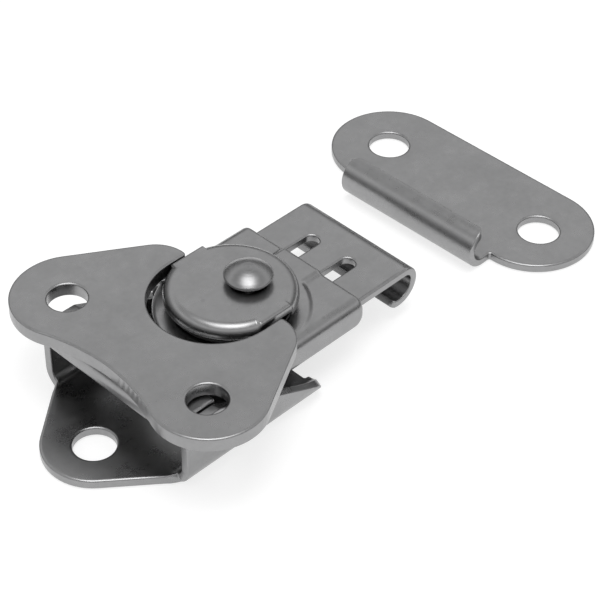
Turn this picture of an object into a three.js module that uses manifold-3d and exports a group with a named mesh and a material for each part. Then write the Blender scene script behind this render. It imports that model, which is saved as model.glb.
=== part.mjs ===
// Toggle bolt latch: a twist-action draw latch with its keeper, pressed from stainless steel sheet.
//
// Units are millimetres. +X runs from the latch to the keeper, +Z away from the mounting surface.
// The origin is on the mounting surface, on the base's centre line, under the handle notch's centre.
//
// How it works: one rivet holds everything to the base and is the handle's turning axis. Under the
// handle sits a round cam whose centre is beside the rivet, so half a turn of the handle carries the
// link forward and back by twice that distance. The hook slides in the link against two springs.

import * as THREE from 'three';
import { mergeVertices } from 'three/addons/utils/BufferGeometryUtils.js';
import Module from 'manifold-3d';

const wasm = await Module();
wasm.setup();

// ---------------------------------------------------------------- driving dimensions

const GAP = 0.3;                      // air left between pieces that touch or turn on each other

const BASE = {                        // channel with two side walls that slope down to the front
  halfWidth: 13.35, sheet: 1.3, bend: 2.9, wallTop: 10.1,
  rear: -17.2, slopeStart: -11.9, webFront: 5.9, wallFront: 6.6, wallTipTop: 1.6, tipR: 1.1,
  earX: -20.4, earR: 7.0, earRootY: 11.6, earHoleX: -20.9, earHoleY: -0.3, earHoleR: 2.87,
  tongueR: 5.0,
};
const BRIDGE = { front: -11, rear: -17.5, roll: 1.9, sheet: 1.2, bottom: 7.2 };

const PIVOT = { x: 4.8, y: -1.1 };    // the rivet's axis, fixed in the base
const CAM = { x: 2.8, y: 0 };         // the cam's centre at rest
const RIVET = { shankR: 2.0, headR: 3.2, headTop: 15.2, headEdge: 14.0, dimpleR: 0.7,
  foot: 0.2, chamfer: 0.2, dimpleDepth: 0.3 };

const HANDLE = {                      // two-lobed plate that is turned by hand
  bottom: 10.4, sheet: 2.0, rear: -17.95, rearR: 30.0,
  leftLobe: { x: -12.6, y: 12.8, r: 7.85 }, rightLobe: { x: -12.7, y: 12.5, r: 7.5 },
  holeX: -13.25, holeY: 12.8, holeR: 2.75,
  shoulderY: 9.3, shoulderR: 5.0, hornX: 3.2, notchR: 8.65,
};
const CAP = {                         // cup over the cam; its skirt is open along the two flats
  outerR: 8.65, roll: 1.4, sheet: 1.2, skirtBottom: 10.9, flatY: 8.2, openHalf: 2.85, boreR: 2.5,
};
CAP.top = HANDLE.bottom + HANDLE.sheet + 0.4;

const LINK = {                        // inverted channel that carries the hook
  top: 9.0, sheet: 1.1, halfWidth: 11.1, bend: 1.6, flangeBottom: 5.2, rear: -1.0, front: 15.6,
  bossR: 10.1, emboss: 0.4, stripHalf: 3.35, camHoleR: 7.3, corner: 1.5,
};
const SLIDER = {                      // hook plate that slides in the link
  top: 7.6, sheet: 1.1, halfWidth: 9.7, rear: 6.0, front: 27.33, bendR: 2.3, tailR: 3.35, tailEnd: -112,
  slotY: 3.3, slotR: 1.15, slotRear: 11.7, slotFront: 20.65, tabBottom: 4.9,
  tabInner: 7.1, tabOuter: 8.9,
};
const COLLAR = { radius: 4.2, bottom: 1.8, top: 5.2 };
const WASHER = { radius: 4.8, bottom: 5.5, top: 6.1 };
const BUSH = { radius: 2.9, top: 11.3 };
const STRAP = { rear: 14.0, front: 15.2, bottom: 3.9, top: 6.2 };
const SPRING = { radius: 1.1, y: 8.4, z: 5.05 };
const KEEPER = {                      // lipped plate; its lip and ends sit a little off its screw holes
  x: 50.2, y: 2.2, turn: 0.8, sheet: 1.2, halfWidth: 8.65, endNear: -12.87, endFar: 13.68,
  holeY: 14.0, holeR: 3.0, curlX: -10.1, curlR: 3.0, curlEnd: 88, lipNear: -12.4, lipFar: 11.4,
};

const THROUGH = 20;                   // taller than any piece, for a cut that goes right through
const STEPS = { small: 6, corner: 8, stud: 20, hole: 40, large: 64 };

const FINISH = {                      // satin stainless steel, a little different from part to part
  sheet: { color: 0x8f9091, roughness: 0.42, metalness: 1 },
  turned: { color: 0xb4b5b6, roughness: 0.28, metalness: 1 },
  inner: { color: 0x6f7072, roughness: 0.5, metalness: 1 },
  spring: { color: 0x7c7d80, roughness: 0.35, metalness: 1 },
};

// ---------------------------------------------------------------- shape helpers

// Points on an arc about (cx, cy); angles in degrees, either way round.
function arc(cx, cy, radius, from, to, steps) {
  const points = [];
  for (let i = 0; i <= steps; i += 1) {
    const angle = THREE.MathUtils.degToRad(from + ((to - from) * i) / steps);
    points.push([cx + radius * Math.cos(angle), cy + radius * Math.sin(angle)]);
  }
  return points;
}

function circle(cx, cy, radius, steps = STEPS.hole) {
  return arc(cx, cy, radius, 0, 360 - 360 / steps, steps - 1);
}

function rectangle(x0, y0, x1, y1) {
  return [[x0, y0], [x1, y0], [x1, y1], [x0, y1]];
}

// A closed geometry as a solid: shared corners merged and zero-area triangles at a pole dropped.
function toSolid(geometry) {
  geometry.deleteAttribute('normal');
  geometry.deleteAttribute('uv');
  const merged = mergeVertices(geometry, 1e-4);
  const corners = merged.index.array;
  const kept = [];
  for (let i = 0; i < corners.length; i += 3) {
    const [a, b, c] = [corners[i], corners[i + 1], corners[i + 2]];
    if (a !== b && b !== c && c !== a) kept.push(a, b, c);
  }
  return new wasm.Manifold(new wasm.Mesh({
    numProp: 3,
    vertProperties: new Float32Array(merged.attributes.position.array),
    triVerts: new Uint32Array(kept),
  }));
}

function toGeometry(solid) {
  const mesh = solid.getMesh();
  const geometry = new THREE.BufferGeometry();
  geometry.setAttribute('position', new THREE.BufferAttribute(mesh.vertProperties, 3));
  geometry.setIndex(new THREE.BufferAttribute(mesh.triVerts, 1));
  geometry.computeVertexNormals();
  return geometry;
}

function extrusion(outline, depth) {
  const shape = new THREE.Shape(outline.map(([x, y]) => new THREE.Vector2(x, y)));
  return new THREE.ExtrudeGeometry(shape, { depth, bevelEnabled: false });
}

// Plan outline (x, y) raised from z0 to z1.
function raised(outline, z0, z1) {
  const geometry = extrusion(outline, z1 - z0);
  geometry.translate(0, 0, z0);
  return toSolid(geometry);
}

// Side outline (x, z) swept across from y0 to y1.
function swept(outline, y0, y1) {
  const geometry = extrusion(outline, y1 - y0);
  geometry.rotateX(Math.PI / 2);
  geometry.translate(0, y1, 0);
  return toSolid(geometry);
}

// End outline (y, z) swept along from x0 to x1.
function drawn(outline, x0, x1) {
  const geometry = extrusion(outline, x1 - x0);
  geometry.applyMatrix4(new THREE.Matrix4().set(0, 0, 1, x0, 1, 0, 0, 0, 0, 1, 0, 0, 0, 0, 0, 1));
  return toSolid(geometry);
}

// Profile (radius, z) turned about the upright axis through (x, y).
function turned(profile, x, y, steps = STEPS.hole) {
  const points = profile.map(([r, z]) => new THREE.Vector2(r, z));
  const geometry = new THREE.LatheGeometry(points, steps);
  geometry.rotateX(Math.PI / 2);
  geometry.translate(x, y, 0);
  return toSolid(geometry);
}

// The hole that the rivet's shank passes through, a little wider than the shank by default.
function rivetHole(radius = RIVET.shankR + GAP) {
  return raised(circle(PIVOT.x, PIVOT.y, radius), -1, THROUGH);
}

function rivetRing(radius, bottom, top) {
  return raised(circle(PIVOT.x, PIVOT.y, radius), bottom, top).subtract(rivetHole());
}

const group = new THREE.Group();

function addPiece(name, solid, finish, parent = group) {
  const mesh = new THREE.Mesh(toGeometry(solid), new THREE.MeshStandardMaterial(finish));
  mesh.name = name;
  parent.add(mesh);
  return mesh;
}

// ---------------------------------------------------------------- base

function baseChannel() {
  const { halfWidth: w, sheet: t, bend, wallTop, rear, wallFront } = BASE;
  const inner = bend - t;
  const section = [
    [-w, wallTop], ...arc(-w + bend, bend, bend, 180, 270, STEPS.small),
    ...arc(w - bend, bend, bend, 270, 360, STEPS.small), [w, wallTop], [w - t, wallTop],
    ...arc(w - bend, bend, inner, 360, 270, STEPS.small),
    ...arc(-w + bend, bend, inner, 270, 180, STEPS.small), [-w + t, wallTop],
  ];
  const side = [
    [rear, -1], [wallFront, -1],
    ...arc(wallFront - BASE.tipR, BASE.wallTipTop - BASE.tipR, BASE.tipR, 0, 66, STEPS.small),
    [BASE.slopeStart, wallTop], [rear, wallTop],
  ];
  let channel = drawn(section, rear, wallFront).intersect(swept(side, -w - 1, w + 1));
  const webHalf = w - bend;
  channel = channel.subtract(raised(rectangle(BASE.webFront, -webHalf, wallFront + 1, webHalf), -1, t + 1));

  const earSide = tangentFrom([rear, BASE.earRootY], [BASE.earX, 0], BASE.earR);
  const ear = [
    [rear + 1, -webHalf], [rear, -BASE.earRootY],
    ...arc(BASE.earX, 0, BASE.earR, 360 - earSide, earSide, 2 * STEPS.corner),
    [rear, BASE.earRootY], [rear + 1, webHalf],
  ];
  const tongue = [
    [0, -BASE.tongueR + PIVOT.y], ...arc(PIVOT.x, PIVOT.y, BASE.tongueR, -90, 90, 2 * STEPS.corner),
    [0, BASE.tongueR + PIVOT.y],
  ];
  return channel
    .add(raised(ear, 0, t))
    .add(raised(tongue, 0, t))
    .subtract(raised(circle(BASE.earHoleX, BASE.earHoleY, BASE.earHoleR), -1, t + 1))
    .subtract(rivetHole());
}

// Angle on a circle, in degrees, where the tangent from a point above it touches on the -X side.
function tangentFrom([px, py], [cx, cy], radius) {
  const away = THREE.MathUtils.radToDeg(Math.atan2(py - cy, px - cx));
  const reach = THREE.MathUtils.radToDeg(Math.acos(radius / Math.hypot(px - cx, py - cy)));
  return away + reach;
}

function rearBridge() {
  const { front, rear, roll, sheet, bottom } = BRIDGE;
  const top = BASE.wallTop;
  const half = BASE.halfWidth - BASE.sheet - GAP;
  const side = [
    [front, top], ...arc(rear + roll, top - roll, roll, 90, 180, STEPS.corner),
    [rear, bottom], [rear + sheet, bottom],
    ...arc(rear + roll, top - roll, roll - sheet, 180, 90, STEPS.corner),
    [front, top - sheet],
  ];
  return swept(side, -half, half);
}

function pivotRivet() {
  const { shankR, headR, headTop, headEdge, dimpleR, foot, chamfer, dimpleDepth } = RIVET;
  const underside = CAP.top + GAP;
  const rise = headTop - headEdge;
  const domeR = (headR * headR + rise * rise) / (2 * rise);
  const reach = THREE.MathUtils.radToDeg(Math.asin(headR / domeR));
  const dome = arc(0, headTop - domeR, domeR, 90 - reach, 90, STEPS.corner)
    .filter(([r]) => r > dimpleR);
  const profile = [
    [0, foot], [shankR, foot], [shankR, underside], [headR - chamfer, underside],
    [headR, underside + chamfer], ...dome, [0, headTop - dimpleDepth],
  ];
  return turned(profile, PIVOT.x, PIVOT.y);
}

// ---------------------------------------------------------------- handle and cam

// One side of the handle's outline as if it lay on +Y: from a horn round its lobe to the rear middle.
function handleSide(lobe) {
  const h = HANDLE;
  const toShoulder = [h.hornX - h.shoulderR - lobe.x, h.shoulderY - lobe.y];
  const between = Math.hypot(...toShoulder);
  const slope = THREE.MathUtils.radToDeg(
    Math.atan2(toShoulder[1], toShoulder[0]) + Math.acos((lobe.r - h.shoulderR) / between));
  const rearX = h.rear - h.rearR;
  const meet = Math.atan2(lobe.y, lobe.x - rearX);
  const lobeEdge = Math.hypot(lobe.x - rearX, lobe.y) - lobe.r;
  const rearEdge = [];
  for (let i = 1; i <= STEPS.corner; i += 1) {
    const angle = meet * (1 - i / STEPS.corner);
    const radius = h.rearR + (lobeEdge - h.rearR) * (angle / meet);
    rearEdge.push([rearX + radius * Math.cos(angle), radius * Math.sin(angle)]);
  }
  return [
    [h.hornX, h.notchR],
    ...arc(h.hornX - h.shoulderR, h.shoulderY, h.shoulderR, 0, slope, STEPS.corner),
    ...arc(lobe.x, lobe.y, lobe.r, slope, 180 + THREE.MathUtils.radToDeg(meet), 3 * STEPS.corner),
    ...rearEdge,
  ];
}

function handlePlate() {
  const h = HANDLE;
  const leftSide = handleSide(h.leftLobe);
  const rightSide = handleSide(h.rightLobe).slice(0, -1).map(([x, y]) => [x, -y]).reverse();
  const notch = arc(0, 0, h.notchR, 270, 90, STEPS.large / 2);
  const holes = [h.holeY, -h.holeY].map((y) => circle(h.holeX, y, h.holeR));
  const top = h.bottom + h.sheet;
  return holes.reduce(
    (plate, hole) => plate.subtract(raised(hole, h.bottom - 1, top + 1)),
    raised([...leftSide, ...rightSide, ...notch], h.bottom, top));
}

function camCap() {
  const { outerR, roll, sheet, skirtBottom, top, flatY, openHalf, boreR } = CAP;
  const under = top - sheet;
  const profile = [
    [0, under], ...arc(outerR - roll, top - roll, roll - sheet, 90, 0, 3),
    [outerR - sheet, skirtBottom], [outerR, skirtBottom],
    ...arc(outerR - roll, top - roll, roll, 0, 90, STEPS.small), [0, top],
  ];
  const cup = turned(profile, CAM.x, CAM.y, STEPS.large);
  const between = raised(rectangle(CAM.x - 10, -flatY, CAM.x + 10, flatY), 0, THROUGH);
  const opening = raised(rectangle(CAM.x - openHalf, -10, CAM.x + openHalf, 10), 0, under)
    .subtract(raised(rectangle(CAM.x - 10, sheet - flatY, CAM.x + 10, flatY - sheet), -1, THROUGH));
  return cup.intersect(between).subtract(opening)
    .subtract(rivetHole(boreR));
}

const CAM_R = LINK.camHoleR - GAP;
const CAM_BOTTOM = LINK.top - LINK.sheet;
const CAM_TOP = LINK.top + LINK.emboss;
const HUB_R = 4.4;

function camDisc() {
  const hubTop = CAP.top - CAP.sheet - GAP;
  return raised(circle(CAM.x, CAM.y, CAM_R, STEPS.large), CAM_BOTTOM, CAM_TOP)
    .add(raised(circle(PIVOT.x, PIVOT.y, HUB_R), CAM_TOP - 0.5, hubTop))
    .subtract(rivetHole(BUSH.radius + GAP));
}

// Thin plate that ties the cam's hub to the handle: a disc with one arm under each of its horns.
function camCarrier() {
  const bottom = CAM_TOP + GAP;
  const top = HANDLE.bottom - GAP;
  const arms = rectangle(HANDLE.hornX - 3.4, -HANDLE.notchR - 3, HANDLE.hornX - 0.4, HANDLE.notchR + 3);
  return raised(circle(CAM.x, CAM.y, CAP.outerR - 0.8, STEPS.large), bottom, top)
    .add(raised(arms, bottom, top))
    .subtract(rivetHole(HUB_R + GAP));
}

const RETAINER = { bottom: 6.4, radius: LINK.camHoleR + 0.4 };

function camRetainer() {
  return raised(circle(CAM.x, CAM.y, RETAINER.radius, STEPS.large), RETAINER.bottom, CAM_BOTTOM - GAP)
    .subtract(rivetHole());
}

// ---------------------------------------------------------------- link and hook

function linkBody() {
  const { top, sheet: t, halfWidth: w, bend, flangeBottom, rear, front, corner } = LINK;
  const inner = bend - t;
  const section = [
    [w, flangeBottom], ...arc(w - bend, top - bend, bend, 0, 90, STEPS.small),
    ...arc(-w + bend, top - bend, bend, 90, 180, STEPS.small), [-w, flangeBottom],
    [-w + t, flangeBottom], ...arc(-w + bend, top - bend, inner, 180, 90, STEPS.small),
    ...arc(w - bend, top - bend, inner, 90, 0, STEPS.small), [w - t, flangeBottom],
  ];
  const side = [
    [rear + corner, flangeBottom],
    ...arc(front - corner, flangeBottom + corner, corner, 270, 360, STEPS.small),
    [front, top + 1], [rear, top + 1], [rear, flangeBottom + corner],
  ];
  const raisedTop = top + LINK.emboss;
  return drawn(section, rear, front)
    .intersect(swept(side, -w - 1, w + 1))
    .add(raised(circle(CAM.x, CAM.y, LINK.bossR, STEPS.large), top - t, raisedTop))
    .add(raised(rectangle(CAM.x, -LINK.stripHalf, front, LINK.stripHalf), top - t, raisedTop))
    .subtract(raised(circle(CAM.x, CAM.y, LINK.camHoleR, STEPS.large), 0, THROUGH));
}

function hookSlider() {
  const s = SLIDER;
  const under = s.top - s.sheet;
  const level = s.top - s.bendR;
  const side = [
    [s.rear, s.tabBottom], [s.rear, s.top],
    ...arc(s.front - s.bendR, level, s.bendR, 90, 0, STEPS.corner),
    ...arc(s.front - s.tailR, level, s.tailR, 0, s.tailEnd, STEPS.corner).slice(1),
    ...arc(s.front - s.tailR, level, s.tailR - s.sheet, s.tailEnd, 0, STEPS.corner),
    ...arc(s.front - s.bendR, level, s.bendR - s.sheet, 0, 90, STEPS.small).slice(1),
    [s.rear + s.sheet, under], [s.rear + s.sheet, s.tabBottom],
  ];
  const slot = (y) => [
    ...arc(s.slotRear, y, s.slotR, 90, 270, STEPS.corner),
    ...arc(s.slotFront, y, s.slotR, -90, 90, STEPS.corner),
  ];
  return swept(side, -s.halfWidth, s.halfWidth)
    .subtract(raised(rectangle(s.rear - 1, -s.tabInner, s.rear + 3, s.tabInner), 0, under))
    .subtract(raised(rectangle(s.rear - 1, s.tabOuter, s.rear + 3, s.halfWidth + 1), 0, under))
    .subtract(raised(rectangle(s.rear - 1, -s.halfWidth - 1, s.rear + 3, -s.tabOuter), 0, under))
    .subtract(raised(circle(CAM.x, CAM.y, RETAINER.radius + 0.4, STEPS.large), under - 1, THROUGH))
    .subtract(raised(slot(s.slotY), under - 1, THROUGH))
    .subtract(raised(slot(-s.slotY), under - 1, THROUGH));
}

function sliderStrap() {
  const half = LINK.halfWidth - LINK.sheet - GAP;
  return raised(rectangle(STRAP.rear, -half, STRAP.front, half), STRAP.bottom, STRAP.top);
}

function guideStud(y) {
  const under = SLIDER.top - SLIDER.sheet;
  const middle = (STRAP.rear + STRAP.front) / 2;
  return raised(circle(middle, y, SLIDER.slotR - GAP, STEPS.stud), under, SLIDER.top);
}

function takeUpSpring(y) {
  const section = circle(y, SPRING.z, SPRING.radius, STEPS.stud);
  return drawn(section, SLIDER.rear + SLIDER.sheet + GAP, STRAP.rear - GAP);
}

// ---------------------------------------------------------------- keeper

function keeperPlate() {
  const k = KEEPER;
  const plan = [
    ...arc(0, k.endFar, k.halfWidth, 0, 180, 2 * STEPS.corner),
    ...arc(0, k.endNear, k.halfWidth, 180, 360, 2 * STEPS.corner),
  ];
  const lip = [
    [k.curlX + 4, 0], ...arc(k.curlX, k.curlR, k.curlR, 270, k.curlEnd, 2 * STEPS.corner),
    ...arc(k.curlX, k.curlR, k.curlR - k.sheet, k.curlEnd, 270, STEPS.corner), [k.curlX + 4, k.sheet],
  ];
  return raised(plan, 0, k.sheet)
    .add(swept(lip, k.lipNear, k.lipFar))
    .subtract(raised(circle(0, k.holeY, k.holeR), -1, 5))
    .subtract(raised(circle(0, -k.holeY, k.holeR), -1, 5));
}

// ---------------------------------------------------------------- assembly

addPiece('base_channel', baseChannel(), FINISH.sheet);
addPiece('rear_bridge', rearBridge(), FINISH.sheet);
addPiece('pivot_rivet', pivotRivet(), FINISH.turned);
addPiece('standoff_collar', rivetRing(COLLAR.radius, COLLAR.bottom, COLLAR.top), FINISH.inner);
addPiece('wave_washer', rivetRing(WASHER.radius, WASHER.bottom, WASHER.top), FINISH.spring);

addPiece('handle_plate', handlePlate(), FINISH.sheet);
addPiece('cam_cap', camCap(), FINISH.sheet);
addPiece('cam_disc', camDisc(), FINISH.inner);
addPiece('cam_carrier', camCarrier(), FINISH.inner);
addPiece('cam_retainer', camRetainer(), FINISH.inner);
addPiece('cam_bush', rivetRing(BUSH.radius, CAM_BOTTOM, BUSH.top), FINISH.inner);

addPiece('link_body', linkBody(), FINISH.sheet);
addPiece('slider_strap', sliderStrap(), FINISH.sheet);
addPiece('guide_stud_left', guideStud(SLIDER.slotY), FINISH.inner);
addPiece('guide_stud_right', guideStud(-SLIDER.slotY), FINISH.inner);

addPiece('hook_slider', hookSlider(), FINISH.sheet);
addPiece('take_up_spring_left', takeUpSpring(SPRING.y), FINISH.spring);
addPiece('take_up_spring_right', takeUpSpring(-SPRING.y), FINISH.spring);

const keeperPlace = new THREE.Group();
keeperPlace.position.set(KEEPER.x, KEEPER.y, 0);
keeperPlace.rotation.z = THREE.MathUtils.degToRad(KEEPER.turn);
group.add(keeperPlace);
addPiece('keeper', keeperPlate(), FINISH.sheet, keeperPlace);

export default group;
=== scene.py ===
"""Looks for the twist-action draw latch and its keeper.

Every piece is a sheet blank with rounded edges, flat or folded into shape, or else a turned profile, a
pressed cup or a wound wire. It is made in millimetres and scaled to metres when its mesh is written.
"""

import math

import bmesh
import bpy
from mathutils import Matrix, Vector, noise


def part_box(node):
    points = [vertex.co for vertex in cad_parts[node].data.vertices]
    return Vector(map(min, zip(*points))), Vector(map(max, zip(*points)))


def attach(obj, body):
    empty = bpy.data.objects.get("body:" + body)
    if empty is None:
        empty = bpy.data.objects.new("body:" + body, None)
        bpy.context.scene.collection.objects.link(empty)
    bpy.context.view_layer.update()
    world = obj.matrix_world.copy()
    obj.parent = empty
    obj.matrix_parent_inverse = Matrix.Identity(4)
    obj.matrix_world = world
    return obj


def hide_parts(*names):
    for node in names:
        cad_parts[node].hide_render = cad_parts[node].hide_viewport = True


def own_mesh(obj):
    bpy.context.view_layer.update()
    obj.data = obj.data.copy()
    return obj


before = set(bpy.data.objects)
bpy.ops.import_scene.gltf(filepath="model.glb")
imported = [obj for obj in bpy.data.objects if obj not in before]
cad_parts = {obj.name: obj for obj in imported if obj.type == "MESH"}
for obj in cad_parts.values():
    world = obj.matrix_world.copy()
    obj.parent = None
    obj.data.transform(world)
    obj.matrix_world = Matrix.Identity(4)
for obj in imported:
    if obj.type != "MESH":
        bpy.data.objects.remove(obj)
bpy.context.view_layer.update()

MM = 0.001


def box_mm(node):
    """The lowest and the highest corner of a CAD node's box at rest, in millimetres."""
    return [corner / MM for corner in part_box(node)]


# ---------------------------------------------------------------- places shared by several pieces

CAP_TOP = box_mm("cam_cap")[1].z
PIVOT_XY = (4.8, -1.1)  # the rivet's axis
CAM_XY = (2.8, 0.0)  # the cam's axis, which the cap and the link's boss share
RIVET_HOLE = 2.3
HANDLE_NOTCH = 8.65


# ---------------------------------------------------------------- outlines

def arc(cx, cy, radius, start, end, step=6):
    """Points on an arc about (cx, cy); angles in degrees, either way round."""
    count = max(3, math.ceil(abs(end - start) / step))
    angles = [math.radians(start + (end - start) * i / count) for i in range(count + 1)]
    return [(cx + radius * math.cos(a), cy + radius * math.sin(a)) for a in angles]


def hole(cx, cy, radius, step=5):
    """A round hole's edge, clockwise, as every hole's edge is."""
    return arc(cx, cy, radius, 360, step, step)


def disc(cx, cy, radius, step=4):
    return arc(cx, cy, radius, 0, 360 - step, step)


def rounded(corners):
    """A polygon's outline with each corner (x, y, radius) rounded by its radius."""
    points = []
    for i, (x, y, radius) in enumerate(corners):
        corner = Vector((x, y))
        if radius == 0:
            points.append((x, y))
            continue
        before = (Vector(corners[i - 1][:2]) - corner).normalized()
        after = (Vector(corners[(i + 1) % len(corners)][:2]) - corner).normalized()
        half = before.angle(after) / 2
        centre = corner + (before + after).normalized() * (radius / math.sin(half))
        first = corner + before * (radius / math.tan(half)) - centre
        last = corner + after * (radius / math.tan(half)) - centre
        turn = math.pi - 2 * half
        count = max(2, math.ceil(turn / math.radians(9)))
        for k in range(count + 1):
            part = turn * k / count
            point = (first * math.sin(turn - part) + last * math.sin(part)) / math.sin(turn)
            points.append(tuple(centre + point))
    return points


def slot_hole(x0, x1, y, radius):
    """A round-ended slot along X, clockwise."""
    return arc(x0, y, radius, -90, -270, 12) + arc(x1, y, radius, 90, -90, 12)


def inset(loop, distance):
    """The loop moved into the material, which lies on its left."""
    moved = []
    for i, point in enumerate(loop):
        here = Vector(point)
        before = (here - Vector(loop[i - 1])).normalized()
        after = (Vector(loop[(i + 1) % len(loop)]) - here).normalized()
        normal = Vector((-before.y, before.x)) + Vector((-after.y, after.x))
        normal.normalize()
        stretch = max(0.5, normal.dot(Vector((-after.y, after.x))))
        moved.append(tuple(here + normal * (distance / stretch)))
    return moved


# ---------------------------------------------------------------- sheet blanks

FLAT_RIM = 0.06  # flat strip beside a rounded edge, so that the rounding's shading stays off the flat
DIE_ROLL = 1.8  # how much wider than deep a sheared top edge is rolled over
SAME_POINT = 0.02  # points of a blank nearer than this are joined, so that no cut leaves a sliver


def edge_rows(thickness, under, over, steps=5):
    """(inset, height) up a sheet's edge: round below, and rolled over by the shearing tool on top."""
    turn = [math.pi / 2 * i / steps for i in range(steps + 1)]
    roll = over * DIE_ROLL
    rows = [(under + FLAT_RIM, 0)]
    rows += [(under * (1 - math.sin(a)), under * (1 - math.cos(a))) for a in turn]
    rows += [(roll * (1 - math.cos(a)), thickness - over * (1 - math.sin(a))) for a in turn]
    rows.append((roll + FLAT_RIM, thickness))
    return rows


def cut(bm, axis, places):
    """Adds edges across the blank at those places along X (axis 0) or Y (axis 1)."""
    normal = Vector((1 - axis, axis, 0))
    for place in places:
        geometry = bm.verts[:] + bm.edges[:] + bm.faces[:]
        bmesh.ops.bisect_plane(bm, geom=geometry, dist=1e-4, plane_co=normal * place, plane_no=normal)


def blank(loops, thickness, under=0.2, over=0.2, cuts_x=(), cuts_y=()):
    """A flat sheet from height 0 to its thickness: loops[0] is its outline, the others its holes.

    under and over are how far up and down its bottom and top edges are rounded.
    """
    bm = bmesh.new()
    bottom, top = [], []
    for loop in loops:
        rows = [
            [bm.verts.new((x, y, height)) for x, y in inset(loop, distance)]
            for distance, height in edge_rows(thickness, under, over)
        ]
        for lower, upper in zip(rows, rows[1:]):
            for i in range(len(loop)):
                bm.faces.new((lower[i - 1], lower[i], upper[i], upper[i - 1]))
        for row, side in ((rows[0], bottom), (rows[-1], top)):
            side.extend(bm.edges.get((row[i - 1], row[i])) for i in range(len(row)))
    bmesh.ops.triangle_fill(bm, use_beauty=True, edges=bottom, normal=(0, 0, -1))
    bmesh.ops.triangle_fill(bm, use_beauty=True, edges=top, normal=(0, 0, 1))
    cut(bm, 0, cuts_x)
    cut(bm, 1, cuts_y)
    bmesh.ops.remove_doubles(bm, verts=bm.verts, dist=SAME_POINT)
    bmesh.ops.dissolve_degenerate(bm, edges=bm.edges, dist=0.0005)
    return bm


def spaced(start, end, step):
    count = max(1, math.ceil(abs(end - start) / step))
    return [start + (end - start) * i / count for i in range(1, count)]


def fold(start, legs, along, offset):
    """The point `along` a bent middle line, `offset` to its left.

    legs are (length, radius) pairs: radius 0 runs straight, above 0 turns left and below 0 right.
    """
    x, y, heading = start
    left = along
    for length, radius in legs:
        step = min(left, length) if (length, radius) != legs[-1] else left
        if radius == 0:
            x += step * math.cos(heading)
            y += step * math.sin(heading)
        else:
            turn = step / radius
            x += radius * (math.sin(heading + turn) - math.sin(heading))
            y -= radius * (math.cos(heading + turn) - math.cos(heading))
            heading += turn
        left -= step
        if left == 0:
            break
    return x - offset * math.sin(heading), y + offset * math.cos(heading)


def fold_cuts(legs, steps=9):
    """Places along a bent line where its bends need edges."""
    places, reached = [], 0
    for length, radius in legs:
        if radius:
            places += [reached + length * i / steps for i in range(steps + 1)]
        reached += length
    return places


def ripple(x, y):
    """The slight unevenness that pressing leaves on a flat sheet."""
    size, depth, layer = 7.0, 0.012, 10.8
    return depth * noise.noise(Vector((x / size, y / size, layer)))


def smooth_step(low, high, value):
    part = min(1, max(0, (value - low) / (high - low)))
    return part * part * (3 - 2 * part)


# ---------------------------------------------------------------- pieces from meshes

def piece(name, bm, body, slot, node=None, place=None, flats=True):
    """Turns a mesh in millimetres into a named piece that rides a body and stands for its node.

    flats says that the piece has flat faces, which then keep their shading level up to each rounding.
    """
    bmesh.ops.remove_doubles(bm, verts=bm.verts, dist=1e-5)
    bmesh.ops.triangulate(bm, faces=[f for f in bm.faces if len(f.verts) > 4])
    bmesh.ops.recalc_face_normals(bm, faces=bm.faces)
    bm.transform(Matrix.Scale(MM, 4))
    if place is not None:
        bm.transform(place)
    for face in bm.faces:
        face.smooth = True
    mesh = bpy.data.meshes.new(name)
    bm.to_mesh(mesh)
    bm.free()
    shown = bpy.data.objects.new(name, mesh)
    bpy.context.scene.collection.objects.link(shown)
    shown.data.materials.append(MATERIALS[slot])
    if flats:
        shown.modifiers.new("level_flats", "WEIGHTED_NORMAL").keep_sharp = False
    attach(shown, body)
    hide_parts(node or name)
    return shown


def shape(bm, form):
    """Moves every vertex of a blank to where form(x, y, height) puts it."""
    for vert in bm.verts:
        vert.co = Vector(form(*vert.co))
    return bm


def lift(z, uneven=False):
    """A form that only raises a blank, and ripples it if it is uneven."""
    return lambda x, y, w: (x, y, z + w + (ripple(x, y) if uneven else 0))


def lathe(profile, cx, cy, count=96):
    """A profile of (radius, z) turned about an upright axis, closed on the axis at both ends."""
    bm = bmesh.new()
    angles = [2 * math.pi * i / count for i in range(count)]
    rings = []
    for radius, z in profile:
        ring = [(cx + radius * math.cos(a), cy + radius * math.sin(a), z) for a in angles]
        rings.append([bm.verts.new(point) for point in (ring if radius else [(cx, cy, z)])])
    for lower, upper in zip(rings, rings[1:]):
        for i in range(count):
            corners = [lower[(i - 1) % len(lower)], lower[i % len(lower)],
                       upper[i % len(upper)], upper[(i - 1) % len(upper)]]
            kept = list(dict.fromkeys(corners))
            if len(kept) > 2:
                bm.faces.new(kept)
    return bm


def tube(points, radius, sides=10):
    """A closed tube along points."""
    bm = bmesh.new()
    angles = [2 * math.pi * k / sides for k in range(sides)]
    rings = []
    for i, point in enumerate(points):
        here = Vector(point)
        ahead = Vector(points[min(i + 1, len(points) - 1)]) - Vector(points[max(i - 1, 0)])
        ahead.normalize()
        across = ahead.cross(Vector((1, 0, 0.001))).normalized()
        other = ahead.cross(across)
        spokes = [across * math.cos(a) + other * math.sin(a) for a in angles]
        rings.append([bm.verts.new(here + spoke * radius) for spoke in spokes])
    for lower, upper in zip(rings, rings[1:]):
        for k in range(sides):
            bm.faces.new((lower[k - 1], lower[k], upper[k], upper[k - 1]))
    bm.faces.new(rings[0])
    bm.faces.new(rings[-1])
    return bm


def plain_ring(node, kind, centre, radius, body, rounding=0.2):
    """A flat ring round the rivet, as high as its CAD node; its outline is round about the centre."""
    low, high = box_mm(node)
    loops = [disc(*centre, radius), hole(*PIVOT_XY, RIVET_HOLE)]
    bm = blank(loops, high.z - low.z, rounding, rounding)
    return piece(f"{node}_{kind}", shape(bm, lift(low.z)), body, "inner_steel", node)


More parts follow.
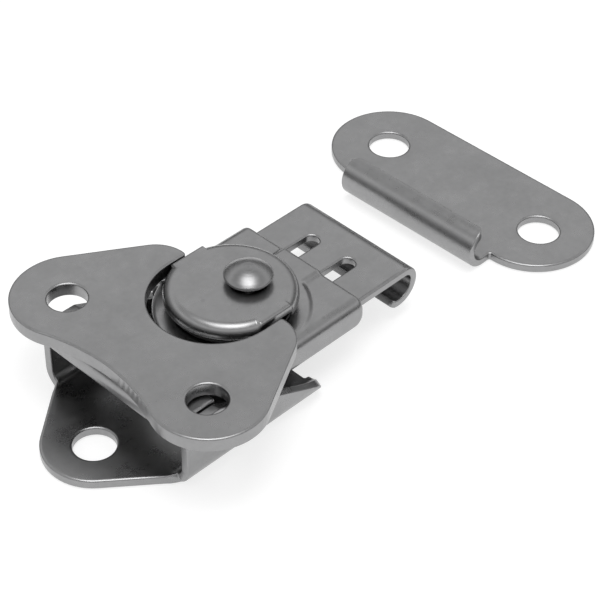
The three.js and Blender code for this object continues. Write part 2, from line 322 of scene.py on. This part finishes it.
# ---------------------------------------------------------------- materials

TONE_SPREAD = 0.07  # how far the mottled tone goes either side of the steel's colour
GLOSS_SPREAD = 0.045  # how far the roughness goes either side of its middle value
PITTED_SHARE = 0.1  # share of the cells that hold a pit
STREAK_HEIGHT = 0.3  # upright streaks on sheared edges, beside a grain of 0.5


def steel(name, color, roughness, specks=0.5, rings=None):
    """Satin stainless steel: a mottled tone, uneven roughness, tiny pits and rubbed sheared edges.

    specks is how dark the pits are, from 0 to 1. rings, when given, is the (x, y) axis in millimetres
    about which fine turning marks run.
    """
    material = bpy.data.materials.new(name)
    material.use_nodes = True
    tree = material.node_tree
    tree.nodes.clear()
    nodes, links = tree.nodes, tree.links

    def node(kind, **values):
        made = nodes.new(kind)
        for key, value in values.items():
            if hasattr(made, key):
                setattr(made, key, value)
            else:
                made.inputs[key.replace("_", " ")].default_value = value
        return made

    def texture(scale, detail, stretch=None):
        made = node("ShaderNodeTexNoise", Scale=scale, Detail=detail, Roughness=0.55)
        source = place.outputs["Object"]
        if stretch:
            mapping = node("ShaderNodeMapping")
            mapping.inputs["Scale"].default_value = stretch
            links.new(source, mapping.inputs["Vector"])
            source = mapping.outputs["Vector"]
        links.new(source, made.inputs["Vector"])
        return made.outputs["Fac"]

    def ranged(value, low, high, to_low, to_high):
        made = node("ShaderNodeMapRange")
        made.inputs["From Min"].default_value = low
        made.inputs["From Max"].default_value = high
        made.inputs["To Min"].default_value = to_low
        made.inputs["To Max"].default_value = to_high
        links.new(value, made.inputs["Value"])
        return made.outputs["Result"]

    def math_node(operation, first, second):
        made = node("ShaderNodeMath", operation=operation)
        for socket, value in zip(made.inputs, (first, second)):
            if isinstance(value, (int, float)):
                socket.default_value = value
            else:
                links.new(value, socket)
        return made.outputs[0]

    output = node("ShaderNodeOutputMaterial")
    shader = node("ShaderNodeBsdfPrincipled")
    links.new(shader.outputs["BSDF"], output.inputs["Surface"])
    shader.inputs["Metallic"].default_value = 1.0
    place = node("ShaderNodeTexCoord")

    cloud = texture(180, detail=4)
    grain = texture(1400, detail=3)
    fine = texture(6500, detail=2)
    tone = math_node("ADD", math_node("MULTIPLY", cloud, 0.6), math_node("MULTIPLY", grain, 0.4))
    tone = ranged(tone, 0.32, 0.68, 1 - TONE_SPREAD, 1 + TONE_SPREAD)

    pits = node("ShaderNodeTexVoronoi", Scale=520.0, Randomness=1.0)
    links.new(place.outputs["Object"], pits.inputs["Vector"])
    chosen = node("ShaderNodeSeparateColor")
    links.new(pits.outputs["Color"], chosen.inputs["Color"])
    pit_size = ranged(chosen.outputs["Red"], 1 - PITTED_SHARE, 1.0, 0.0, 0.16)
    pit = math_node("LESS_THAN", pits.outputs["Distance"], pit_size)
    pit_shade = math_node("SUBTRACT", 1.0, math_node("MULTIPLY", pit, specks))
    tone = math_node("MULTIPLY", tone, pit_shade)

    tint = node("ShaderNodeVectorMath", operation="SCALE")
    tint.inputs[0].default_value = color
    links.new(tone, tint.inputs["Scale"])
    links.new(tint.outputs["Vector"], shader.inputs["Base Color"])

    patches = texture(420, detail=5)
    gloss = math_node("ADD", math_node("MULTIPLY", patches, 0.7), math_node("MULTIPLY", fine, 0.3))
    gloss = ranged(gloss, 0.35, 0.65, roughness - GLOSS_SPREAD, roughness + GLOSS_SPREAD)
    links.new(gloss, shader.inputs["Roughness"])

    facing = node("ShaderNodeNewGeometry")
    upright = node("ShaderNodeSeparateXYZ")
    links.new(facing.outputs["True Normal"], upright.inputs["Vector"])
    side = math_node("SUBTRACT", 1.0, math_node("ABSOLUTE", upright.outputs["Z"], 0.0))
    sheared = math_node("MULTIPLY", texture(2600, detail=2, stretch=(1, 1, 0.12)), side)
    height = math_node("ADD", math_node("MULTIPLY", grain, 0.5), math_node("MULTIPLY", fine, 0.28))
    height = math_node("ADD", height, math_node("MULTIPLY", sheared, STREAK_HEIGHT))
    height = math_node("SUBTRACT", height, math_node("MULTIPLY", pit, 1.2))
    if rings is not None:
        shifted = node("ShaderNodeMapping")
        shifted.inputs["Location"].default_value = (-rings[0] * MM, -rings[1] * MM, 0)
        links.new(place.outputs["Object"], shifted.inputs["Vector"])
        turned = node("ShaderNodeTexWave", wave_type="RINGS", rings_direction="Z",
                      Scale=620.0, Distortion=1.2)
        links.new(shifted.outputs["Vector"], turned.inputs["Vector"])
        height = math_node("ADD", height, math_node("MULTIPLY", turned.outputs["Fac"], 0.8))
    bump = node("ShaderNodeBump", Strength=0.3, Distance=0.000012)
    links.new(height, bump.inputs["Height"])
    links.new(bump.outputs["Normal"], shader.inputs["Normal"])
    return material


MATERIALS = {
    "sheet_steel": steel("satin_sheet_steel", (0.31, 0.31, 0.313), 0.30, specks=0.1),
    "turned_steel": steel("turned_steel", (0.27, 0.27, 0.273), 0.30, specks=0.2, rings=PIVOT_XY),
    # painted shade: the cam disc, carrier, retainer, bush, collar and studs hidden under the handle and
    # cap are coloured near black to stand for the shade they sit in
    "inner_steel": steel("inner_steel", (0.06, 0.06, 0.061), 0.36),
    "spring_steel": steel("spring_steel", (0.24, 0.24, 0.245), 0.30),
}


# ---------------------------------------------------------------- base

def base_channel():
    half_width, wall_top = box_mm("base_channel")[1].yz
    sheet, bend = 1.3, 2.9
    flat = half_width - bend
    middle = bend - sheet / 2
    turn = middle * math.pi / 2
    reach = flat + turn + wall_top - bend
    legs = [(flat, 0), (turn, middle), (wall_top - bend, 0)]
    rear, slope_x, tip_x, web_x, tongue_radius = -17.2, -11.9, 6.6, 5.9, 5.0
    wall_slope = 0.449
    tip = reach - wall_slope * (tip_x - slope_x)
    ear_x, ear_radius, root = -20.4, 7.0, flat + 1.2
    ear_hole = hole(-20.9, -0.3, 2.78)
    away = math.degrees(math.atan2(root, rear - ear_x))
    touch = away + math.degrees(math.acos(ear_radius / math.hypot(rear - ear_x, root)))
    ear = arc(ear_x, 0, ear_radius, touch, 360 - touch)
    tongue = math.degrees(math.acos((web_x - PIVOT_XY[0]) / tongue_radius))

    half = rounded([
        (web_x, PIVOT_XY[1] + tongue_radius, 0), (web_x, flat - 0.3, 0.3), (tip_x, flat - 0.3, 0.3),
        (tip_x, tip, 2.2),
        (slope_x, reach, 1.2), (rear, reach, 0.5), (rear, root, 0.3), (*ear[0], 0),
    ])[1:-1]
    near_half = [(x, -y) for x, y in reversed(half)]
    outline = arc(*PIVOT_XY, tongue_radius, -tongue, tongue) + half + ear + near_half
    bm = blank(
        [outline, ear_hole, hole(*PIVOT_XY, RIVET_HOLE)], sheet,
        cuts_x=spaced(-27, 10, 1.0),
        cuts_y=[s * side for s in fold_cuts(legs) + spaced(flat + turn, reach, 1.0) for side in (1, -1)],
    )

    def form(x, y, w):
        across, z = fold((0, sheet / 2, 0), legs, abs(y), w - sheet / 2)
        return x, math.copysign(across, y), z

    return piece("base_channel_shell", shape(bm, form), "base", "sheet_steel", "base_channel")


def rear_bridge():
    sheet, roll = 1.2, 1.9
    low, high = box_mm("rear_bridge")
    middle = roll - sheet / 2
    legs = [(high.x - low.x - roll, 0), (middle * math.pi / 2, -middle), (high.z - roll - low.z, 0)]
    length = sum(leg[0] for leg in legs)
    outline = rounded([(0, low.y, 0.5), (length, low.y, 0.5), (length, high.y, 0.5), (0, high.y, 0.5)])
    bm = blank([outline], sheet, 0.25, 0.25,
               cuts_x=fold_cuts(legs, 12), cuts_y=spaced(low.y, high.y, 1.5))

    def form(x, y, w):
        back, z = fold((-high.x, high.z - sheet / 2, 0), legs, x, w - sheet / 2)
        return -back, y, z

    return piece("rear_bridge_strip", shape(bm, form), "base", "sheet_steel", "rear_bridge")


def pivot_rivet():
    cap = CAP_TOP
    foot, top = (corner.z for corner in box_mm("pivot_rivet"))
    shank, head, edge, mark = 2.0, 3.2, 14.0, 0.8
    rise = top - edge
    dome = (head * head + rise * rise) / (2 * rise)
    profile = [(0, foot), (shank - 0.4, foot), (shank, foot + 0.3), (shank, cap + 0.28)]
    profile.append((head - 0.75, cap + 0.3))
    profile += [(head - 0.6, cap + 0.34), (head - 0.12, edge - 0.42), (head - 0.02, edge - 0.25)]
    profile += [(head, edge - 0.1), (head - 0.05, edge + 0.02)]
    reach = math.asin((head - 0.16) / dome)
    for i in range(21):
        a = reach * (1 - i / 20)
        radius = dome * math.sin(a)
        if radius > mark + 0.1:
            profile.append((radius, top - 0.02 - dome * (1 - math.cos(a))))
    level = top - 0.02 - dome * (1 - math.cos(math.asin(mark / dome)))
    profile += [(mark, level), (mark - 0.1, level - 0.05), (mark - 0.25, level - 0.03)]
    profile += [(0.25, level + 0.03), (0.12, level - 0.01), (0, level - 0.02)]
    rivet = lathe(profile, *PIVOT_XY)
    return piece("pivot_rivet_body", rivet, "base", "turned_steel", "pivot_rivet", flats=False)


def standoff_collar():
    return plain_ring("standoff_collar", "body", PIVOT_XY, radius=4.2, body="base", rounding=0.25)


def wave_washer():
    low, high = box_mm("wave_washer")
    radius, sheet, waves = 4.8, 0.26, 3
    swing = (high.z - low.z - sheet) / 2
    bm = blank([disc(*PIVOT_XY, radius, 3), hole(*PIVOT_XY, RIVET_HOLE, 3)], sheet, 0.06, 0.06,
               cuts_x=spaced(0, 2 * radius, 0.5))

    def form(x, y, w):
        angle = math.atan2(y - PIVOT_XY[1], x - PIVOT_XY[0])
        return x, y, low.z + w + swing * (1 + math.cos(waves * angle))

    return piece("wave_washer_ring", shape(bm, form), "base", "spring_steel", "wave_washer")


# ---------------------------------------------------------------- handle and cam

def handle_side(lobe_x, lobe_y, lobe):
    """One side of the outline as if it lay on +Y, from a horn round its lobe to the rear middle."""
    rear, rear_radius = -17.95, 30.0
    shoulder_y, shoulder, horn, tip = 9.3, 5.0, 3.2, 0.5
    to_shoulder = (horn - shoulder - lobe_x, shoulder_y - lobe_y)
    slope = math.degrees(math.atan2(to_shoulder[1], to_shoulder[0])
                         + math.acos((lobe - shoulder) / math.hypot(*to_shoulder)))
    centre = rear - rear_radius
    meet = math.atan2(lobe_y, lobe_x - centre)
    change = math.hypot(lobe_x - centre, lobe_y) - lobe - rear_radius
    side = [(1.2, HANDLE_NOTCH), (2.2, HANDLE_NOTCH)]
    side += arc(horn - tip, HANDLE_NOTCH + tip, tip, -90, 0, 18)
    side += arc(horn - shoulder, shoulder_y, shoulder, 1.5, slope, 3)
    side += arc(lobe_x, lobe_y, lobe, slope, 180 + math.degrees(meet), 3)
    for i in range(1, 21):
        part = 1 - i / 20
        radius = rear_radius + change * part
        side.append((centre + radius * math.cos(meet * part), radius * math.sin(meet * part)))
    return side


def handle_plate():
    low, high = box_mm("handle_plate")
    left_lobe, right_lobe = (-12.6, 12.8, 7.85), (-12.7, 12.5, 7.5)
    hole_x, hole_y, hole_radius = -13.25, 12.8, 2.6
    left = handle_side(*left_lobe)
    right = [(x, -y) for x, y in reversed(handle_side(*right_lobe)[:-1])]
    loops = [left + right + arc(0, 0, HANDLE_NOTCH, 270, 90, 3)]
    loops += [hole(hole_x, y, hole_radius, 4) for y in (hole_y, -hole_y)]
    bm = blank(loops, high.z - low.z, cuts_x=spaced(-20, 4, 1.0), cuts_y=spaced(-21, 21, 1.0))
    shape(bm, lift(low.z, uneven=True))
    return piece("handle_plate_blank", bm, "handle", "sheet_steel", "handle_plate")


def cam_cap():
    """A cup turned over, with its skirt missing where the two flats meet the handle's horns."""
    outer, flat, sheet, bore = 8.65, 8.2, 1.2, 2.5
    roll, sharp = 1.4, 0.45  # rounding of the top edge over the skirt, and along the flats
    face_inset = 3.2  # from the rim to the top face's innermost ring of edges, clear of the bore
    skirt, top = (corner.z for corner in box_mm("cam_cap"))
    count = 240
    half_flat = math.degrees(math.acos(flat / outer))
    blend = 0.8  # degrees either side of a flat's end over which the skirt gives way
    quarter = [math.pi / 2 * k / 7 for k in range(8)]
    rings = []
    for i in range(count):
        degrees = 360 * i / count
        angle = math.radians(degrees)
        from_flat = abs(abs((degrees + 180) % 360 - 180) - 90)
        open_part = 1 - smooth_step(half_flat - blend, half_flat + blend, from_flat)
        curve = roll + (sharp - roll) * open_part
        low = skirt + (top - sheet - 0.03 - skirt) * open_part
        inner = (roll - sheet) * (1 - open_part) + 0.02 * open_part
        profile = [(face_inset, top), (curve + 1.2, top), (curve + FLAT_RIM, top)]
        profile += [(curve * (1 - math.sin(a)), top - curve * (1 - math.cos(a))) for a in quarter]
        profile += [(0, low + 0.16), (0.05, low + 0.05), (0.16, low), (sheet - 0.16, low)]
        profile.append((sheet, low + 0.02))
        profile += [
            (sheet + inner * (1 - math.cos(a)), top - sheet - inner * (1 - math.sin(a))) for a in quarter
        ]
        column = []
        for distance, z in profile:
            radius, limit = outer - distance, flat - distance
            y = max(-limit, min(limit, radius * math.sin(angle)))
            column.append((CAM_XY[0] + radius * math.cos(angle), y, z))
        rings.append(column)
    bm = bmesh.new()
    outside = [[bm.verts.new(column[k]) for column in rings] for k in range(len(rings[0]))]
    rim = 0.22
    bore_profile = [(bore + rim + FLAT_RIM, top)]
    bore_profile += [(bore + rim * (1 - math.sin(a)), top - rim * (1 - math.cos(a))) for a in quarter]
    bore_profile += [(bore, top - sheet + 0.05), (bore + 0.05, top - sheet)]
    inside = [
        [bm.verts.new((x, y, z)) for x, y in hole(*PIVOT_XY, radius)] for radius, z in bore_profile
    ]
    for loops in (outside, inside):
        for lower, upper in zip(loops, loops[1:]):
            for i in range(len(lower)):
                bm.faces.new((lower[i - 1], lower[i], upper[i], upper[i - 1]))
    for end, up in ((0, 1), (-1, -1)):
        loops = (outside[end], inside[end])
        edges = [bm.edges.get((loop[i - 1], loop[i])) for loop in loops for i in range(len(loop))]
        bmesh.ops.triangle_fill(bm, use_beauty=True, edges=edges, normal=(0, 0, up))
    return piece("cam_cap_cup", bm, "handle", "sheet_steel", "cam_cap")


def cam_disc():
    low, high = box_mm("cam_disc")
    bush, hub, radius, disc_top = 3.2, 4.4, 7.0, 9.4
    hub_foot = disc_top + 0.01
    bm = blank([disc(*CAM_XY, radius), hole(*PIVOT_XY, bush)], disc_top - low.z)
    shape(bm, lift(low.z))
    upper = blank([disc(*PIVOT_XY, hub), hole(*PIVOT_XY, bush)], high.z - hub_foot, 0.15, 0.15)
    shape(upper, lift(hub_foot))
    extra = bpy.data.meshes.new("cam_hub")
    upper.to_mesh(extra)
    upper.free()
    bm.from_mesh(extra)
    bpy.data.meshes.remove(extra)
    return piece("cam_disc_body", bm, "handle", "inner_steel", "cam_disc")


def cam_carrier():
    low, high = box_mm("cam_carrier")
    radius, arm_front, arm_rear, hub_hole = 7.85, CAM_XY[0], -0.2, 4.7
    turn = math.degrees(math.acos((arm_rear - CAM_XY[0]) / radius))

    def arm(first_x, second_x, end_y):
        """An arm's end, from one of its sides to the other."""
        corners = [(first_x, 0, 0), (first_x, end_y, 0.5), (second_x, end_y, 0.5), (second_x, 0, 0)]
        return rounded(corners)[1:-1]

    outline = arc(*CAM_XY, radius, -90, 90, 4) + arm(arm_front, arm_rear, high.y)
    outline += arc(*CAM_XY, radius, turn, 360 - turn, 4) + arm(arm_rear, arm_front, low.y)
    bm = blank([outline, hole(*PIVOT_XY, hub_hole)], high.z - low.z, 0.06, 0.06)
    return piece("cam_carrier_plate", shape(bm, lift(low.z)), "handle", "inner_steel", "cam_carrier")


def cam_retainer():
    return plain_ring("cam_retainer", "disc", CAM_XY, radius=7.7, body="handle")


def cam_bush():
    return plain_ring("cam_bush", "sleeve", PIVOT_XY, radius=2.9, body="handle", rounding=0.1)


# ---------------------------------------------------------------- link and hook

def link_body():
    low, high = box_mm("link_body")
    sheet, bend, emboss, strip, boss, cam_hole = 1.1, 1.6, 0.4, 3.35, 10.1, 7.3
    plate_top, rear, front = 9.0, -1.0, high.x
    flat = high.y - bend
    middle = bend - sheet / 2
    turn = middle * math.pi / 2
    reach = flat + turn + plate_top - bend - low.z
    legs = [(flat, 0), (turn, -middle), (10, 0)]
    crossing = math.degrees(math.acos((rear - CAM_XY[0]) / boss))
    fine_step = 0.22  # edges close enough together to carry the raised boss and strip
    bends = [place * side for place in fold_cuts(legs[:2], 10) for side in (1, -1)]
    outline = rounded([
        (rear, -flat, 0), (rear, -reach, 1.5), (front, -reach, 1.5),
        (front, reach, 1.5), (rear, reach, 1.5), (rear, flat, 0),
    ])
    outline += arc(*CAM_XY, boss, crossing, 360 - crossing, 4)
    bm = blank(
        [outline, hole(*CAM_XY, cam_hole, 4)], sheet, 0.18, 0.3,
        cuts_x=spaced(-7.5, front, fine_step),
        cuts_y=spaced(-flat, flat, fine_step) + bends,
    )

    def raised(x, y):
        edge = boss + 1.5 * smooth_step(0, 1.5, -x)
        round_part = 1 - smooth_step(edge - 0.45, edge + 0.45, math.hypot(x - CAM_XY[0], y))
        strip_part = (1 - smooth_step(strip - 0.4, strip + 0.4, abs(y))) * smooth_step(3, 4, x)
        return emboss * (1 - (1 - round_part) * (1 - strip_part))

    def form(x, y, w):
        across, z = fold((0, plate_top - sheet / 2, 0), legs, abs(y), w - sheet / 2)
        step = raised(x, y) if abs(y) < flat else 0
        return x, math.copysign(across, y), z + step + ripple(x, y)

    return piece("link_body_shell", shape(bm, form), "link", "sheet_steel", "link_body")


def slider_strap():
    low, high = box_mm("slider_strap")
    corners = ((low.x, low.y), (high.x, low.y), (high.x, high.y), (low.x, high.y))
    bm = blank([rounded([(*corner, 0.2) for corner in corners])], high.z - low.z)
    return piece("slider_strap_bar", shape(bm, lift(low.z)), "link", "sheet_steel", "slider_strap")


def guide_stud(side):
    node = "guide_stud_" + side
    low, high = box_mm(node)
    centre = (low + high) / 2
    bm = blank([disc(centre.x, centre.y, (high.x - low.x) / 2, 10)], high.z - low.z, 0.1, 0.1)
    return piece(node + "_pin", shape(bm, lift(low.z)), "link", "inner_steel", node)


def hook_slider():
    low, high = box_mm("hook_slider")
    sheet, bend, tail, heel, tab_bottom = 1.1, 2.3, 3.35, 1.5, 4.9
    quarter = math.pi / 2
    legs = [
        (high.z - heel - tab_bottom, 0), ((heel - sheet / 2) * quarter, -(heel - sheet / 2)),
        (high.x - bend - low.x - heel, 0), ((bend - sheet / 2) * quarter, -(bend - sheet / 2)),
        ((tail - sheet / 2) * math.radians(112), -(tail - sheet / 2)),
    ]
    length = sum(leg[0] for leg in legs)
    shift = legs[0][0] + legs[1][0] - (low.x + heel)
    half, tab, tab_outer, foot = high.y, 7.1, 8.9, legs[0][0]
    clearance = 8.1  # the rear notch, about the cam's axis
    slot_rear, slot_front, slot_y, slot_radius = 11.7 + shift, 20.65 + shift, 3.3, 1.1
    bite = math.degrees(math.asin(tab / clearance))
    outline = rounded([
        (0, -tab, 0), (0, -tab_outer, 0.3), (foot, -tab_outer, 0.3), (foot, -half, 0.3),
        (length, -half, 0.6), (length, half, 0.6),
        (foot, half, 0.3), (foot, tab_outer, 0.3), (0, tab_outer, 0.3), (0, tab, 0),
    ])
    outline += arc(CAM_XY[0] + shift, 0, clearance, bite, -bite, 5)
    slots = [slot_hole(slot_rear, slot_front, y, slot_radius) for y in (slot_y, -slot_y)]
    bm = blank([outline] + slots, sheet, 0.16, 0.2,
               cuts_x=fold_cuts(legs, 16) + spaced(foot, length, 1.0), cuts_y=spaced(-half, half, 1.0))

    def form(x, y, w):
        along, z = fold((low.x + sheet / 2, tab_bottom, math.pi / 2), legs, x, w - sheet / 2)
        return along, y, z + ripple(along, y)

    return piece("hook_slider_plate", shape(bm, form), "hook", "sheet_steel", "hook_slider")


def take_up_spring(side):
    node = "take_up_spring_" + side
    low, high = box_mm(node)
    centre = (low + high) / 2
    wire, turns, per_turn = 0.23, 8, 24
    closed, advance = 0.11, 0.4  # share of the wire in each closed end, and how far that end reaches
    coil = (high.y - low.y) / 2 - wire
    start, end = low.x + wire, high.x - wire
    points = []
    for i in range(turns * per_turn + 1):
        part = i / (turns * per_turn)
        even = min(1, max(0, (part - closed) / (1 - 2 * closed)))
        closing = (min(part, closed) + max(0, part - 1 + closed)) / closed * advance
        angle = 2 * math.pi * i / per_turn
        x = start + closing + (end - start - 2 * advance) * even
        points.append((x, centre.y + coil * math.cos(angle), centre.z + coil * math.sin(angle)))
    spring = piece(node + "_coil", tube(points, wire), "link", "spring_steel", node, flats=False)
    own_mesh(spring)
    return spring


# ---------------------------------------------------------------- keeper

def keeper():
    sheet, half, near_y, far_y, curl_x, curl = 1.2, 8.65, -12.87, 13.68, 10.1, 3.0
    lip_near, lip_far, curl_end, corner = -12.4, 11.4, 88, 1.3
    hole_y, hole_radius = 14, 2.92
    x_mm, y_mm, turn = 50.2, 2.2, 0.8
    middle = curl - sheet / 2
    legs = [(curl_x, 0), (middle * math.radians(270 - curl_end), middle)]
    length = sum(leg[0] for leg in legs)
    outline = arc(0, far_y, half, 0, 172, 4)
    outline += rounded([
        (-half, far_y, 0), (-half, lip_far, 0.3), (-length, lip_far, corner),
        (-length, lip_near, corner), (-half, lip_near, 0.3), (-half, near_y - 0.6, 0),
    ])[1:-1]
    outline += arc(0, near_y, half, 185, 360, 4)
    bm = blank(
        [outline] + [hole(0, y, hole_radius, 4) for y in (hole_y, -hole_y)], sheet, 0.18, 0.22,
        cuts_x=[-place for place in fold_cuts(legs, 26)] + spaced(-curl_x, half, 1.0),
        cuts_y=spaced(-22, 23, 1.0),
    )

    def form(x, y, w):
        back, z = (-x, w) if x > -curl_x else fold((0, sheet / 2, 0), legs, -x, w - sheet / 2)
        return -back, y, z + (ripple(x, y) if w > sheet / 2 else 0)

    place = Matrix.Translation((x_mm * MM, y_mm * MM, 0)) @ Matrix.Rotation(math.radians(turn), 4, "Z")
    return piece("keeper_plate", shape(bm, form), "keeper", "sheet_steel", "keeper", place)


# ---------------------------------------------------------------- floor, camera and lights

# angles in degrees; the place, the lens and the sensor in millimetres
CAMERA = {
    "azimuth": 44.437, "elevation": 41.158, "roll": 0.634,
    "place": (-129.07, -141.49, 179.08), "lens": 121.74, "sensor": 36.0,
}

FLOOR_TONE = 0.42
FLOOR_GLOW = 0.7  # light that comes up through the pale floor, as on a lit table
FLOOR_DROP = 0.0001  # metres between the floor and the undersides that stand on it


def floor():
    bm = bmesh.new()
    bmesh.ops.create_grid(bm, x_segments=8, y_segments=8, size=2.0)
    mesh = bpy.data.meshes.new("floor")
    bm.to_mesh(mesh)
    bm.free()
    ground = bpy.data.objects.new("floor", mesh)
    bpy.context.scene.collection.objects.link(ground)
    material = bpy.data.materials.new("pale_floor")
    material.use_nodes = True
    shader = material.node_tree.nodes["Principled BSDF"]
    shader.inputs["Base Color"].default_value = (FLOOR_TONE, FLOOR_TONE, FLOOR_TONE, 1)
    shader.inputs["Emission Color"].default_value = (1, 1, 1, 1)
    shader.inputs["Emission Strength"].default_value = FLOOR_GLOW
    shader.inputs["Roughness"].default_value = 0.9
    shader.inputs["Specular IOR Level"].default_value = 0.1
    mesh.materials.append(material)
    ground.location.z = -FLOOR_DROP


def camera():
    azimuth, elevation = math.radians(CAMERA["azimuth"]), math.radians(CAMERA["elevation"])
    ahead = Vector((math.cos(elevation) * math.cos(azimuth), math.cos(elevation) * math.sin(azimuth),
                    -math.sin(elevation)))
    right = ahead.cross(Vector((0, 0, 1))).normalized()
    up = right.cross(ahead)
    level = Matrix((right, up, -ahead)).transposed().to_4x4()
    data = bpy.data.cameras.new("camera")
    data.lens, data.sensor_width = CAMERA["lens"], CAMERA["sensor"]
    data.clip_start, data.clip_end = 0.005, 10
    holder = bpy.data.objects.new("camera", data)
    holder.matrix_world = (Matrix.Translation(Vector(CAMERA["place"]) * MM) @ level
                           @ Matrix.Rotation(math.radians(CAMERA["roll"]), 4, "Z"))
    bpy.context.scene.collection.objects.link(holder)
    bpy.context.scene.camera = holder


def softbox(name, azimuth, elevation, distance, size, power):
    """A square area light that faces the latch from an azimuth and elevation in degrees."""
    target = Vector((0.015, 0, 0.006))
    a, e = math.radians(azimuth), math.radians(elevation)
    toward = Vector((math.cos(e) * math.cos(a), math.cos(e) * math.sin(a), math.sin(e)))
    data = bpy.data.lights.new(name, "AREA")
    data.shape, data.size, data.energy = "SQUARE", size, power
    light = bpy.data.objects.new(name, data)
    light.location = target + toward * distance
    light.rotation_euler = toward.to_track_quat("Z", "Y").to_euler()
    bpy.context.scene.collection.objects.link(light)


# brightness of the sky from the horizon (0) to overhead (1)
SKY = ((0.0, 0.04), (0.26, 0.08), (0.5, 0.24), (0.62, 0.38), (0.7, 0.29), (0.77, 0.2), (0.87, 0.13),
       (0.94, 0.3), (0.98, 1.0))
SKY_STRENGTH = 2.95


def lights():
    """A sky in soft bands of brightness, brightest overhead, and a softbox high on the camera's side."""
    world = bpy.data.worlds.new("studio")
    world.use_nodes = True
    tree = world.node_tree
    sky = tree.nodes.new("ShaderNodeTexCoord")
    direction = tree.nodes.new("ShaderNodeSeparateXYZ")
    ramp = tree.nodes.new("ShaderNodeValToRGB")
    ramp.color_ramp.interpolation = "EASE"
    steps = ramp.color_ramp.elements
    for position, level in SKY:
        step = steps[0] if position == SKY[0][0] else steps.new(position)
        step.position = position
        step.color = (level, level, level, 1)
    steps.remove(steps[-1])
    tree.links.new(sky.outputs["Generated"], direction.inputs["Vector"])
    tree.links.new(direction.outputs["Z"], ramp.inputs["Fac"])
    tree.links.new(ramp.outputs["Color"], tree.nodes["Background"].inputs["Color"])
    tree.nodes["Background"].inputs["Strength"].default_value = SKY_STRENGTH
    bpy.context.scene.world = world
    softbox("over_softbox", azimuth=225, elevation=78, distance=0.9, size=0.5, power=1.3)
    bpy.context.scene.view_settings.view_transform = "Standard"


base_channel()
rear_bridge()
pivot_rivet()
standoff_collar()
wave_washer()
handle_plate()
cam_cap()
cam_disc()
cam_carrier()
cam_retainer()
cam_bush()
link_body()
slider_strap()
hook_slider()
for side in ("left", "right"):
    guide_stud(side)
    take_up_spring(side)
keeper()
floor()
camera()
lights()
